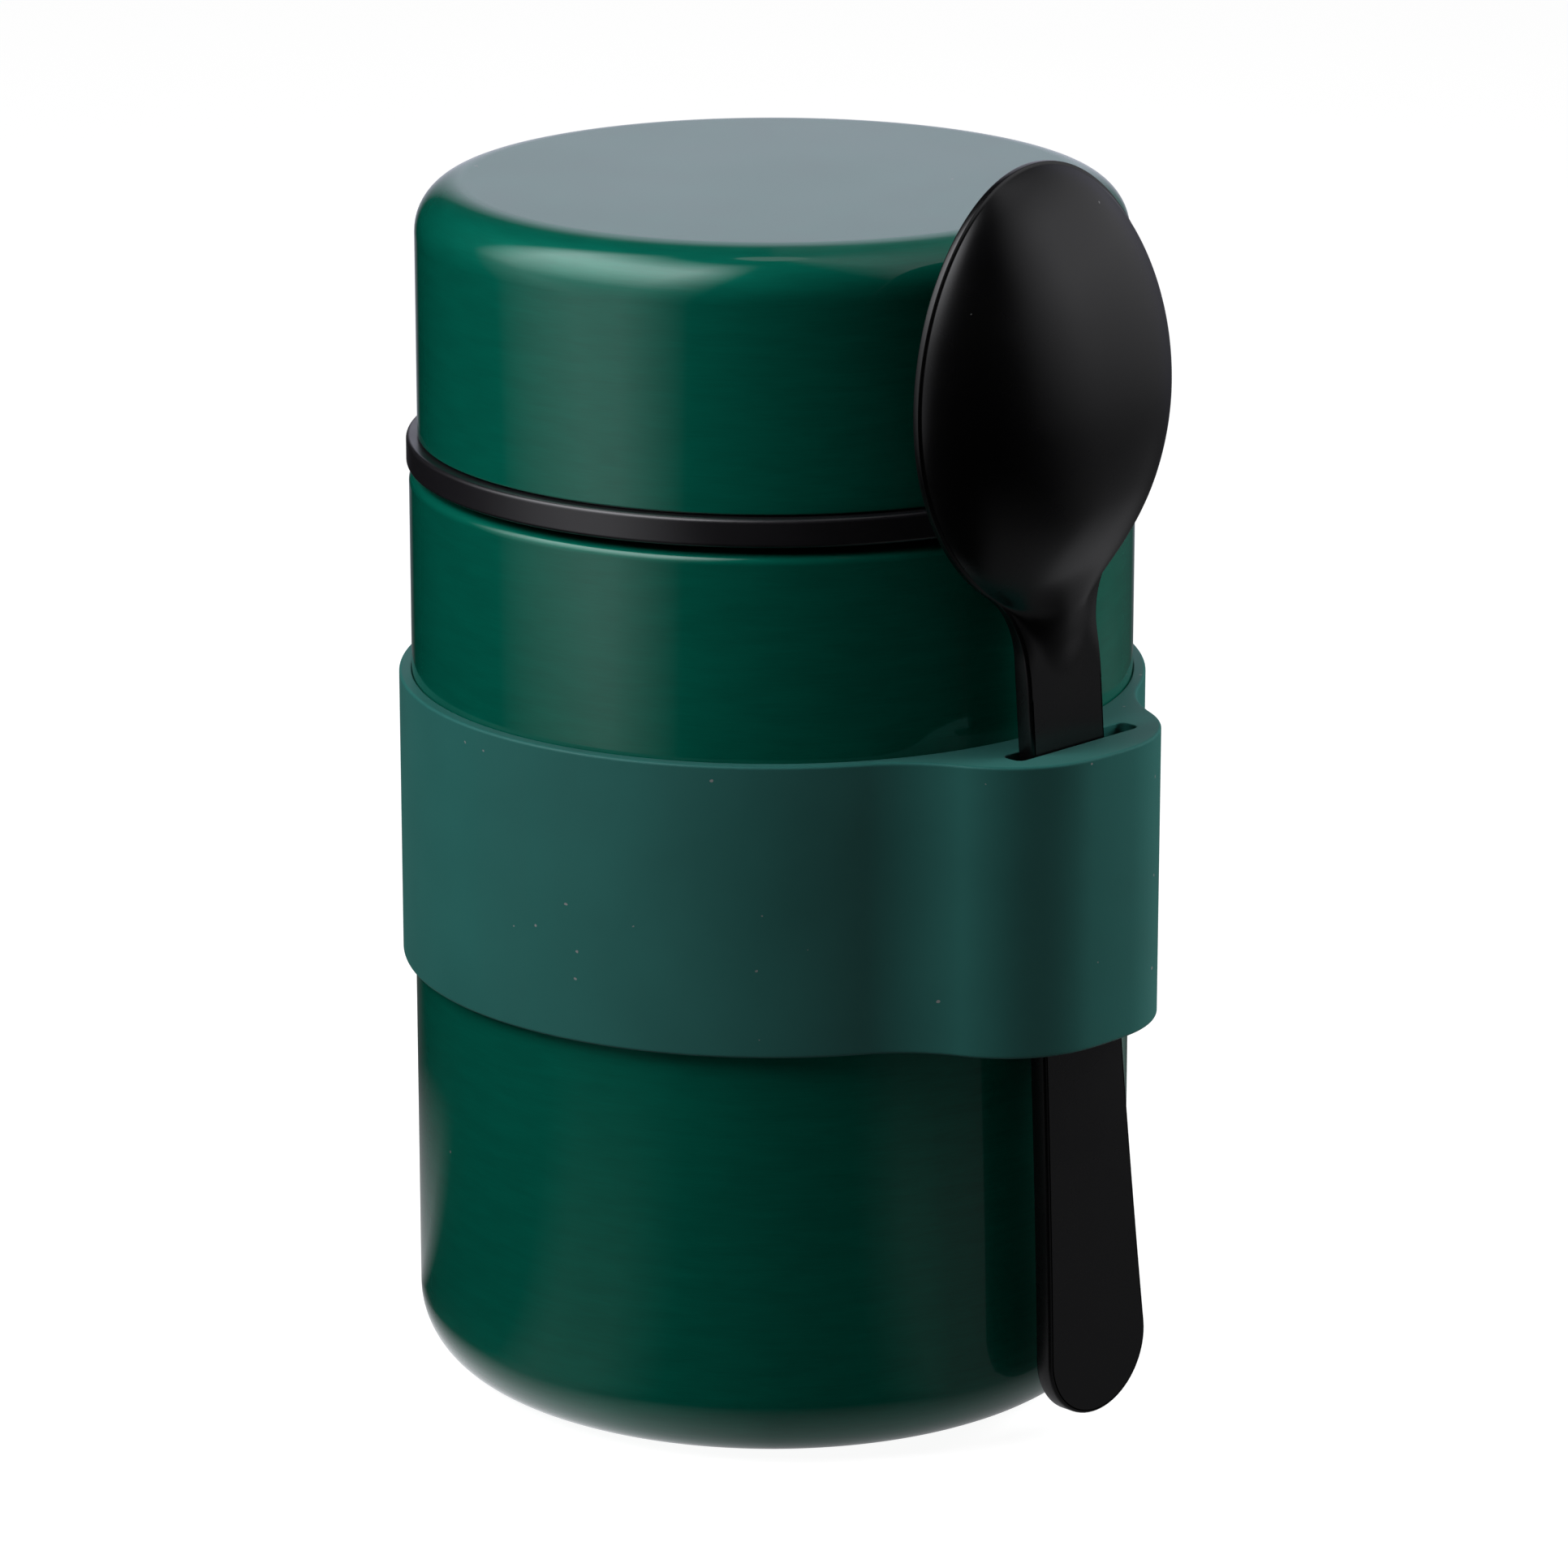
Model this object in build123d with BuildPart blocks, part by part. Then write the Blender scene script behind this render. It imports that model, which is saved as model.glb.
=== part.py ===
"""Insulated food jar: a vacuum steel body, a screw lid, and a spoon held by a silicone band.

Millimetres, +Z up. The origin is the centre of the base, on the jar's own axis.
The spoon and the pocket that holds it are on the -Y side.
"""

import os
from math import acos, cos, degrees, radians, sin, sqrt

from build123d import *

os.makedirs("parts", exist_ok=True)

# ---------------------------------------------------------------- driving sizes
# Steel body
body_radius = 45.0
sheet = 0.5
foot_rounding = 9.3
foot_ledge = 13.2
shoulder_height = 115.8
shoulder_step = 4.9
shoulder_rounding = 1.2
neck_rise = 16.2

# Food vessel inside the body
neck_vacuum = 1.0
vessel_floor = 8.5
vessel_rounding = 8.0
vessel_weld_height = 22.0
foil_gauge = 0.15
foil_margin = 6.0

# Base plate and what it carries
plate_gauge = 0.6
plate_flange = 3.0
plate_rise = 3.4
dimple_radius = 4.5
dimple_depth = 1.2
vent_radius = 1.0
bead_radius = 3.0
getter_radius = 4.0
getter_height = 1.4
getter_offset = 18.0
clip_gauge = 0.3
clip_width = 4.0
clip_foot = 3.0

# Lid
lid_rise = 20.0
lid_inset = 1.1
lid_rounding = 6.2
ring_overhang = 0.3
ring_height = 3.5
ring_rounding = 0.5
lid_wall = 1.9
thread_room = 1.3
disc_gauge = 2.0
plug_room = 1.6
plug_depth = 10.0
plug_rounding = 3.0
flange_gauge = 1.0
seal_height = 2.0
seal_lip = 0.6

# Silicone band with its pocket
band_bottom = 53.9
band_height = 36.5
band_wall = 1.55
band_rounding = 0.35
pocket_wall = 5.8
pocket_front_turn = 3.5
pocket_corner = 15.5
pocket_blend = 20.0
slot_half_width = 10.6
slot_corner = 1.0

# Spoon
handle_gauge = 2.5
handle_stand = 2.7
handle_tilt = 4.8
handle_shift = 1.6
handle_half_width = 6.4
handle_waist = 0.5
handle_end_radius = 8.7
handle_length = 78.8
handle_edge = 0.5
bowl_half_width = 21.4
bowl_centre = 43.5
bowl_nose = 28.3
bowl_heel = 26.0
bowl_depth = 9.6
bowl_wall = 1.3
rim_gauge = 1.0
rim_step = 0.3
rim_rounding = 0.3
neck_blend = 11.0
neck_swell = 2.0

# ---------------------------------------------------------------- clearances
press_gap = 0.3       # between pieces that slip into one another
band_gap = 0.05       # running fit of the band on the body
ring_gap = 1.0        # the lid's ring stands this far above the shoulder
seam_gap = 0.2        # dark line between the lid's steel skirt and its ring
slot_gap = 0.25       # beside the spoon's handle, front and back

# ---------------------------------------------------------------- derived sizes
neck_radius = body_radius - shoulder_step
rim_height = shoulder_height + neck_rise
foot_opening_radius = body_radius - foot_ledge
vessel_radius = neck_radius - sheet - neck_vacuum
vessel_bore = vessel_radius - sheet
lip_underside = rim_height - sheet
plate_underside = sheet + plate_rise - plate_gauge
plate_top = plate_underside + plate_gauge
lid_radius = body_radius - lid_inset
lid_height = rim_height + lid_rise
lid_bottom = shoulder_height + ring_gap
ring_radius = body_radius + ring_overhang
ring_top = lid_bottom + ring_height
core_bore = neck_radius + thread_room
core_radius = core_bore + lid_wall
seal_top = rim_height + seal_height
disc_underside = seal_top + flange_gauge
disc_top = disc_underside + disc_gauge
lid_ceiling = lid_height - sheet
plug_radius = vessel_bore - plug_room
plug_bottom = rim_height - plug_depth
band_bore = body_radius + band_gap
band_radius = band_bore + band_wall
band_top = band_bottom + band_height
handle_back = band_radius + handle_stand
pocket_radius = handle_back + handle_gauge + pocket_wall
corner_reach = pocket_radius - pocket_corner
blend_reach = band_radius + pocket_blend
blend_turn = pocket_front_turn + degrees(
    acos(
        (corner_reach**2 + blend_reach**2 - (pocket_corner + pocket_blend) ** 2)
        / (corner_reach * blend_reach * 2)
    )
)


def from_axis(reach, turn):
    """Point in the XY plane at a distance from the axis, turned from -Y towards +X."""
    return Vector(reach * sin(radians(turn)), -reach * cos(radians(turn)))


def arc_about(centre, first, last):
    """Arc about a centre from one point to another, the short way."""
    middle = (first + last) / 2 - centre
    ThreePointArc(first, centre + middle.normalized() * (first - centre).length, last)


def corner(builder, across, along):
    """The corner of a section nearest to the given radius and height."""
    return builder.vertices().sort_by_distance((across, along, 0))[0]


# ---------------------------------------------------------------- steel body
# Side wall, rounded foot, shoulder and neck, drawn from one sheet.
with BuildPart() as outer_shell:
    with BuildSketch(Plane.XZ) as shell_section:
        with BuildLine():
            Polyline(
                (0, 0),
                (body_radius, 0),
                (body_radius, shoulder_height),
                (neck_radius, shoulder_height),
                (neck_radius, rim_height),
                (0, rim_height),
                close=True,
            )
        make_face()
        fillet(corner(shell_section, body_radius, 0), foot_rounding)
        fillet(corner(shell_section, body_radius, shoulder_height), shoulder_rounding)
        fillet(corner(shell_section, neck_radius, shoulder_height), shoulder_rounding)
        offset(amount=-sheet, mode=Mode.SUBTRACT)
        Rectangle(foot_opening_radius, rim_height, align=(Align.MIN, Align.MIN), mode=Mode.SUBTRACT)
        with Locations((0, lip_underside)):
            Rectangle(body_radius, sheet, align=(Align.MIN, Align.MIN), mode=Mode.SUBTRACT)
    revolve(axis=Axis.Z)
outer_shell.part.label = "outer_shell"

# Tube of the food vessel, turned outward at the top into the lip that closes the neck.
with BuildPart() as inner_wall:
    with BuildSketch(Plane.XZ) as wall_section:
        with BuildLine():
            Polyline(
                (vessel_bore, vessel_weld_height),
                (vessel_radius, vessel_weld_height),
                (vessel_radius, lip_underside),
                (neck_radius, lip_underside),
                (neck_radius, rim_height),
                (vessel_bore, rim_height),
                close=True,
            )
        make_face()
        fillet(corner(wall_section, neck_radius, rim_height), sheet * 0.6)
        fillet(corner(wall_section, vessel_bore, rim_height), sheet * 0.8)
    revolve(axis=Axis.Z)
inner_wall.part.label = "inner_wall"

# Dished bottom of the food vessel, butt-welded to the tube.
with BuildPart() as inner_base:
    with BuildSketch(Plane.XZ) as dish_section:
        with Locations((0, vessel_floor)):
            Rectangle(
                vessel_radius,
                vessel_weld_height + sheet - vessel_floor,
                align=(Align.MIN, Align.MIN),
            )
        fillet(corner(dish_section, vessel_radius, vessel_floor), vessel_rounding)
        offset(amount=-sheet, mode=Mode.SUBTRACT)
        with Locations((0, vessel_floor + sheet)):
            Rectangle(sheet, rim_height, align=(Align.MIN, Align.MIN), mode=Mode.SUBTRACT)
        with Locations((0, vessel_weld_height)):
            Rectangle(vessel_radius, sheet, align=(Align.MIN, Align.MIN), mode=Mode.SUBTRACT)
    revolve(axis=Axis.Z)
inner_base.part.label = "inner_base"

# Copper foil wrapped round the food vessel, inside the vacuum.
with BuildPart() as radiation_foil:
    with BuildSketch(Plane.XY.offset(vessel_weld_height + foil_margin)):
        Circle(vessel_radius + foil_gauge + foil_gauge)
        Circle(vessel_radius + foil_gauge, mode=Mode.SUBTRACT)
    extrude(amount=shoulder_height - vessel_weld_height - foil_margin - foil_margin)
radiation_foil.part.label = "radiation_foil"

# Plate that closes the vacuum space: flange, recess and the dimple with its vent.
with BuildPart() as vacuum_base:
    with BuildSketch(Plane.XZ):
        with BuildLine():
            Polyline(
                (foot_opening_radius, sheet),
                (foot_opening_radius + plate_flange, sheet),
                (foot_opening_radius + plate_flange, sheet + plate_gauge),
                (foot_opening_radius + plate_gauge, sheet + plate_gauge),
                (foot_opening_radius + plate_gauge, plate_top),
                (dimple_radius + plate_gauge, plate_top),
                (dimple_radius + plate_gauge, plate_top + dimple_depth),
                (vent_radius, plate_top + dimple_depth),
                (vent_radius, plate_underside + dimple_depth),
                (dimple_radius, plate_underside + dimple_depth),
                (dimple_radius, plate_underside),
                (foot_opening_radius, plate_underside),
                close=True,
            )
        make_face()
    revolve(axis=Axis.Z)
vacuum_base.part.label = "vacuum_base"

# Solder glass that plugs the vent from below.
with BuildPart() as seal_bead:
    with BuildSketch(Plane.XZ) as bead_section:
        with Locations((0, plate_underside)):
            Rectangle(bead_radius, dimple_depth, align=(Align.MIN, Align.MIN))
        fillet(corner(bead_section, bead_radius, plate_underside), dimple_depth * 0.7)
        with Locations((0, plate_underside + dimple_depth)):
            Rectangle(
                vent_radius - band_gap,
                plate_gauge,
                align=(Align.MIN, Align.MIN),
            )
    revolve(axis=Axis.Z)
seal_bead.part.label = "seal_bead"

# Gas-absorbing pellet on the vacuum side of the plate.
with BuildPart() as getter:
    with BuildSketch(Plane.XY.offset(plate_top)):
        with Locations((getter_offset, 0)):
            Circle(getter_radius)
    extrude(amount=getter_height)
getter.part.label = "getter"

# Spring-steel strap that holds the pellet down.
with BuildPart() as getter_clip:
    with BuildSketch(Plane.XZ.offset(-clip_width / 2)):
        with Locations((getter_offset, plate_top)):
            Rectangle(
                (getter_radius + press_gap + clip_foot) * 2,
                clip_gauge,
                align=(Align.CENTER, Align.MIN),
            )
            Rectangle(
                (getter_radius + press_gap + clip_gauge) * 2,
                getter_height + clip_gauge,
                align=(Align.CENTER, Align.MIN),
            )
            Rectangle(
                (getter_radius + press_gap) * 2,
                getter_height,
                align=(Align.CENTER, Align.MIN),
                mode=Mode.SUBTRACT,
            )
    extrude(amount=clip_width)
getter_clip.part.label = "getter_clip"

# Pressed cup that covers the plate and is flush with the foot.
with BuildPart() as base_cover:
    with BuildSketch(Plane.XZ):
        Rectangle(
            foot_opening_radius - press_gap,
            plate_underside,
            align=(Align.MIN, Align.MIN),
        )
        with Locations((0, sheet)):
            Rectangle(
                foot_opening_radius - press_gap - sheet,
                plate_underside,
                align=(Align.MIN, Align.MIN),
                mode=Mode.SUBTRACT,
            )
    revolve(axis=Axis.Z)
base_cover.part.label = "base_cover"

# ---------------------------------------------------------------- lid
# Lacquered steel cap.
with BuildPart() as lid_shell:
    with BuildSketch(Plane.XZ) as cap_section:
        with Locations((0, ring_top + seam_gap - sheet)):
            Rectangle(
                lid_radius,
                lid_height + sheet - ring_top - seam_gap,
                align=(Align.MIN, Align.MIN),
            )
        fillet(corner(cap_section, lid_radius, lid_height), lid_rounding)
        offset(amount=-sheet, mode=Mode.SUBTRACT)
        with Locations((0, ring_top + seam_gap - sheet)):
            Rectangle(lid_radius, sheet, align=(Align.MIN, Align.MIN), mode=Mode.SUBTRACT)
            Rectangle(
                sheet,
                lid_ceiling + sheet - ring_top - seam_gap,
                align=(Align.MIN, Align.MIN),
                mode=Mode.SUBTRACT,
            )
    revolve(axis=Axis.Z)
lid_shell.part.label = "lid_shell"

# Moulded screw cap: the dark ring below the steel, the threaded skirt and the disc.
with BuildPart() as lid_core:
    with BuildSketch(Plane.XZ) as core_section:
        with BuildLine():
            Polyline(
                (core_bore, lid_bottom),
                (ring_radius, lid_bottom),
                (ring_radius, ring_top),
                (core_radius, ring_top),
                (core_radius, disc_top),
                (0, disc_top),
                (0, disc_underside),
                (core_bore, disc_underside),
                close=True,
            )
        make_face()
        fillet(corner(core_section, ring_radius, lid_bottom), ring_rounding)
        fillet(corner(core_section, ring_radius, ring_top), ring_rounding)
        fillet(corner(core_section, core_bore, disc_underside), ring_rounding)
    revolve(axis=Axis.Z)
lid_core.part.label = "lid_core"

# Hollow plug that reaches into the mouth, with the flange that presses the seal.
with BuildPart() as lid_plug:
    with BuildSketch(Plane.XZ) as plug_section:
        with BuildLine():
            Polyline(
                (0, plug_bottom),
                (plug_radius, plug_bottom),
                (plug_radius, seal_top),
                (neck_radius, seal_top),
                (neck_radius, disc_underside),
                (plug_radius - disc_gauge, disc_underside),
                (plug_radius - disc_gauge, plug_bottom + disc_gauge),
                (0, plug_bottom + disc_gauge),
                close=True,
            )
        make_face()
        fillet(corner(plug_section, plug_radius, plug_bottom), plug_rounding)
        fillet(
            corner(plug_section, plug_radius - disc_gauge, plug_bottom + disc_gauge),
            plug_rounding - disc_gauge,
        )
    revolve(axis=Axis.Z)
lid_plug.part.label = "lid_plug"

# Insulating foam in the plug.
with BuildPart() as plug_foam:
    with BuildSketch(Plane.XZ) as foam_section:
        with Locations((0, plug_bottom + disc_gauge)):
            Rectangle(
                plug_radius - disc_gauge - press_gap,
                disc_underside - plug_bottom - disc_gauge,
                align=(Align.MIN, Align.MIN),
            )
        fillet(
            corner(foam_section, plug_radius - disc_gauge - press_gap, plug_bottom + disc_gauge),
            plug_rounding - disc_gauge,
        )
    revolve(axis=Axis.Z)
plug_foam.part.label = "plug_foam"

# Insulating foam between the screw cap and the steel cap.
with BuildPart() as lid_foam:
    with BuildSketch(Plane.XZ) as pad_section:
        with Locations((0, disc_top)):
            Rectangle(
                lid_radius - sheet - press_gap,
                lid_ceiling - disc_top,
                align=(Align.MIN, Align.MIN),
            )
        fillet(
            corner(pad_section, lid_radius - sheet - press_gap, lid_ceiling),
            lid_rounding + press_gap + press_gap,
        )
    revolve(axis=Axis.Z)
lid_foam.part.label = "lid_foam"

# Silicone gasket on the rim, with a lip that turns down inside the mouth.
with BuildPart() as seal_ring:
    with BuildSketch(Plane.XZ) as gasket_section:
        with BuildLine():
            Polyline(
                (plug_radius + press_gap, seal_top),
                (plug_radius + press_gap, rim_height - seal_height),
                (plug_radius + press_gap + seal_lip, rim_height - seal_height),
                (plug_radius + press_gap + seal_lip, rim_height),
                (neck_radius, rim_height),
                (neck_radius, seal_top),
                close=True,
            )
        make_face()
        fillet(corner(gasket_section, neck_radius, rim_height), seal_lip)
    revolve(axis=Axis.Z)
seal_ring.part.label = "seal_ring"

# ---------------------------------------------------------------- band and spoon
# The pocket's outline, on the +X side: its front arc runs into a corner arc, and a blend
# arc that bends the other way carries that on into the band's circle.
pocket_corner_centre = from_axis(corner_reach, pocket_front_turn)
pocket_blend_centre = from_axis(blend_reach, blend_turn)
pocket_front_end = from_axis(pocket_radius, pocket_front_turn)
pocket_side = pocket_corner_centre + (pocket_blend_centre - pocket_corner_centre) * (
    pocket_corner / (pocket_corner + pocket_blend)
)
pocket_root = from_axis(band_radius, blend_turn)

# Stretch band with the pocket blended into it, and the slot for the handle.
with BuildPart() as spoon_band:
    with BuildSketch(Plane.XY.offset(band_bottom)):
        with BuildLine():
            arc_about(Vector(0, 0), Vector(0, -pocket_radius), pocket_front_end)
            arc_about(pocket_corner_centre, pocket_front_end, pocket_side)
            arc_about(pocket_blend_centre, pocket_side, pocket_root)
            arc_about(Vector(0, 0), pocket_root, Vector(0, band_radius))
            mirror(about=Plane.YZ)
        make_face()
    extrude(amount=band_height)
    fillet(
        spoon_band.edges().group_by(Axis.Z)[0] + spoon_band.edges().group_by(Axis.Z)[-1],
        band_rounding,
    )
    with BuildSketch(Plane.XY.offset(band_bottom)):
        Circle(band_bore)
        with Locations((0, -handle_back - handle_gauge / 2)):
            RectangleRounded(
                slot_half_width * 2,
                handle_gauge + slot_gap + slot_gap,
                slot_corner,
            )
    extrude(amount=band_height, mode=Mode.SUBTRACT)
spoon_band.part.label = "spoon_band"

# The spoon lies in a plane of its own: x across it, y along it to the tip,
# z out from the jar, with the origin on its back face at the top of the band.
tilt = radians(handle_tilt)
spoon_plane = Plane(
    origin=(-handle_shift, -handle_back, band_top),
    x_dir=(cos(tilt), 0, sin(tilt)),
    z_dir=(0, -1, 0),
)
dome_sink = bowl_depth / 4
dome_height = bowl_depth + dome_sink
dome_spread = 1 / sqrt(1 - (dome_sink / dome_height) ** 2)
dome_place = spoon_plane.location * Location((0, bowl_centre, rim_gauge - dome_sink))
neck_join = bowl_centre - bowl_heel * sqrt(1 - (handle_half_width / bowl_half_width) ** 2)
handle_top = bowl_centre - bowl_heel * 3 / 4


def dome(shrink, floor):
    """The bowl's rounded form: halves of two stretched balls that meet at its widest line."""
    with BuildPart(mode=Mode.PRIVATE) as whole:
        for reach, side in ((bowl_nose, Keep.BOTTOM), (bowl_heel, Keep.TOP)):
            with BuildPart(mode=Mode.PRIVATE) as half:
                Sphere(1)
                split(bisect_by=Plane.XZ, keep=side)
                scale(
                    by=(
                        (bowl_half_width - rim_step) * dome_spread - shrink,
                        (reach - rim_step) * dome_spread - shrink,
                        dome_height - shrink,
                    )
                )
                split(bisect_by=Plane.XY.offset(floor), keep=Keep.TOP)
            add(half.part)
    return whole.part


def on_spoon(across, along, height):
    """A point given in the spoon's own plane."""
    return spoon_plane.from_local_coords(Vector(across, along, height))


# Spoon in one moulding, its hollow side towards the jar.
with BuildPart() as spoon:
    # Handle, waisted between the neck and its round end.
    with BuildSketch(spoon_plane):
        with BuildLine():
            Polyline(
                (handle_half_width, 0),
                (handle_half_width, handle_top),
                (0, handle_top),
                (0, -handle_length),
                (handle_end_radius, -handle_length),
            )
            SagittaArc(
                (handle_end_radius, -handle_length),
                (handle_half_width, 0),
                handle_waist,
            )
        make_face()
        mirror(about=Plane.YZ)
        with Locations((0, -handle_length)):
            Circle(handle_end_radius)
    extrude(amount=handle_gauge)
    handle_face = spoon.faces().sort_by_distance(on_spoon(0, -handle_length / 2, handle_gauge))[0]
    fillet(handle_face.edges() - handle_face.edges().sort_by(Axis.Z)[-1:], handle_edge)
    # Thin rim all round the bowl, run into the neck.
    with BuildSketch(spoon_plane) as rim_section:
        with Locations((0, bowl_centre)):
            Ellipse(bowl_half_width, bowl_nose)
            Rectangle(
                bowl_half_width * 2,
                bowl_nose,
                align=(Align.CENTER, Align.MIN),
                mode=Mode.INTERSECT,
            )
            Ellipse(bowl_half_width, bowl_heel)
        Rectangle(handle_half_width * 2, bowl_centre, align=(Align.CENTER, Align.MIN))
        fillet(corner(rim_section, -handle_half_width, neck_join), neck_blend)
        fillet(corner(rim_section, handle_half_width, neck_join), neck_blend)
    extrude(amount=rim_gauge)
    # Rounded back of the bowl, hollowed to an even wall.
    with Locations(dome_place):
        add(dome(0, dome_sink))
        add(dome(bowl_wall, 0), mode=Mode.SUBTRACT)
    fillet(
        spoon.edges().sort_by_distance(on_spoon(0, neck_join, handle_gauge))[0],
        neck_swell,
    )
    back_face = spoon.faces().sort_by_distance(on_spoon(0, -handle_length / 2, 0))[0]
    fillet(back_face.outer_wire().edges(), rim_rounding)
spoon.part.label = "spoon"

for piece in (
    outer_shell,
    inner_wall,
    inner_base,
    radiation_foil,
    vacuum_base,
    seal_bead,
    getter,
    getter_clip,
    base_cover,
    lid_shell,
    lid_core,
    lid_plug,
    plug_foam,
    lid_foam,
    seal_ring,
    spoon_band,
    spoon,
):
    export_step(piece.part, "parts/" + piece.part.label + ".step")
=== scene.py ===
"""Looks of the insulated food jar: lacquered steel, moulded ring, silicone band and spoon.

Metres, +Z up, the same frame as the solids. The origin is the centre of the base.
The spoon and its pocket are on the -Y side.
"""

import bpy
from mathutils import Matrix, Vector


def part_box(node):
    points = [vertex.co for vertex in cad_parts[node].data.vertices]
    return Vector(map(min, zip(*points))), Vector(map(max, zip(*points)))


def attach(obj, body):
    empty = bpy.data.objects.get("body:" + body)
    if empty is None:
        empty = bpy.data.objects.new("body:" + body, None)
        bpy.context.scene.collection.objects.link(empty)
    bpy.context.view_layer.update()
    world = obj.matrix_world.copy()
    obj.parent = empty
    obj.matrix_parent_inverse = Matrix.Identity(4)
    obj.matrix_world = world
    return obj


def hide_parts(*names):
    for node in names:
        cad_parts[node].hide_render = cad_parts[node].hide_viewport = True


bl_info = {
    "name": "Insulated food jar",
    "version": (1, 0, 0),
    "blender": (4, 5, 0),
    "location": "3D View > Sidebar > Food jar",
    "description": "Builds the visible surfaces of a food jar with a screw lid and a banded spoon",
    "category": "Object",
}

from functools import partial

import bmesh
import bpy
import numpy as np
from mathutils import Vector

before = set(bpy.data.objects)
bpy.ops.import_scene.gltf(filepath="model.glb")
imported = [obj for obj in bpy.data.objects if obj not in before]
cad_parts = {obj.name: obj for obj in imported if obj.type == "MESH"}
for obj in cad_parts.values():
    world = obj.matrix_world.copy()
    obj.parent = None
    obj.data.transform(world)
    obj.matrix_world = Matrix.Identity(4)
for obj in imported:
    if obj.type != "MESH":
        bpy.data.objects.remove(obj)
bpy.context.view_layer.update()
TAU = 2 * np.pi

# Corners of the solids, which give the main sizes their defaults.
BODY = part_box("outer_shell")[1]
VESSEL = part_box("inner_wall")
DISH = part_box("inner_base")
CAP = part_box("lid_shell")
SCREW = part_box("lid_core")
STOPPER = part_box("lid_plug")
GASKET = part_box("seal_ring")
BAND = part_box("spoon_band")


# ---- sizes and colours
def number(name, about, default, **kind):
    """A number property; kind gives its unit or subtype and its limits."""
    return bpy.props.FloatProperty(name=name, description=about, default=float(default), **kind)


def tint(name, about, default):
    """A colour property, linear."""
    return bpy.props.FloatVectorProperty(
        name=name, description=about, default=default, size=3, subtype="COLOR", min=0, max=1
    )


length = partial(number, precision=5, unit="LENGTH")
share = partial(number, min=0, max=1, subtype="FACTOR")
angle_of = partial(number, subtype="ANGLE")


class JarSizes(bpy.types.PropertyGroup):
    """Steel body, food vessel and base."""

    radius: length("Body radius", "Outside of the steel wall", BODY.x)
    sheet: length("Sheet", "Thickness of the steel", 0.0005)
    foot_rounding: length("Foot rounding", "Radius between wall and foot", 0.0093)
    foot_opening: length("Foot opening", "Radius where the foot's ledge ends", 0.0318)
    shoulder: length("Shoulder height", "Flat step below the neck", 0.1158)
    corner: length("Shoulder rounding", "Radius of the shoulder's corners", 0.0012)
    neck: length("Neck radius", "Outside of the bare neck", VESSEL[1].x)
    rim: length("Rim height", "Top of the lip", VESSEL[1].z)
    vessel: length("Vessel radius", "Outside of the food vessel", DISH[1].x)
    floor: length("Vessel floor", "Underside of the food vessel", DISH[0].z)
    dish: length("Vessel rounding", "Radius between vessel wall and floor", 0.008)
    cover: length("Base cover radius", "Pressed cup under the foot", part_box("base_cover")[1].x)
    cover_rise: length("Base cover height", "Depth of the pressed cup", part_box("base_cover")[1].z)
    pitch: length("Thread pitch", "Rise of the thread in one turn", 0.006)
    thread: length("Thread height", "How far the neck's thread stands out", 0.0009)


class LidSizes(bpy.types.PropertyGroup):
    """Steel cap, moulded screw cap, stopper and gasket."""

    radius: length("Cap radius", "Outside of the steel cap", CAP[1].x)
    top: length("Cap top", "Height of the lid's flat top", CAP[1].z)
    skirt: length("Cap skirt", "Height of the steel cap's lower edge", CAP[0].z)
    rounding: length("Cap rounding", "Radius of the cap's shoulder", 0.0062)
    ring: length("Ring radius", "Outside of the dark ring", SCREW[1].x)
    ring_bottom: length("Ring bottom", "Lower face of the ring", SCREW[0].z)
    ring_height: length("Ring height", "Height of the dark ring", 0.0035)
    ring_corner: length("Ring corner", "Rounding of the ring's edges", 0.0005)
    bore: length("Screw bore", "Inside of the threaded skirt", 0.0414)
    wall: length("Screw wall", "Thickness of the threaded skirt", 0.0019)
    disc: length("Disc underside", "Underside of the screw cap's disc", STOPPER[1].z)
    disc_gauge: length("Disc gauge", "Thickness of the disc", 0.002)
    plug: length("Stopper radius", "Part that reaches into the mouth", 0.0365)
    seal_top: length("Seal top", "Top of the gasket", GASKET[1].z)
    seal_lip: length("Seal lip", "Thickness of the gasket's lip", 0.0006)


class BandSizes(bpy.types.PropertyGroup):
    """Silicone band with its pocket and slot."""

    bottom: length("Band bottom", "Lower edge of the band", BAND[0].z)
    top: length("Band top", "Upper edge of the band", BAND[1].z)
    radius: length("Band radius", "Outside of the band", BAND[1].x)
    bore: length("Band bore", "Inside of the band", 0.04505)
    pocket: length("Pocket radius", "Outside of the pocket, from the jar's axis", -BAND[0].y)
    front: angle_of("Pocket front", "Half the pocket's front, at the axis", np.radians(3.5))
    corner: length("Pocket corner", "Rounding of the pocket's outer corners", 0.0155)
    blend: length("Pocket blend", "Hollow between pocket and band", 0.020)
    edge: length("Band edge", "Rounding of the upper and lower edges", 0.00035)
    slot_back: length("Slot back", "Distance of the slot from the axis", 0.04905)
    slot_gauge: length("Slot gauge", "Width of the slot", 0.003)
    slot_half: length("Slot half width", "Half the slot's length", 0.0106)


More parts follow.
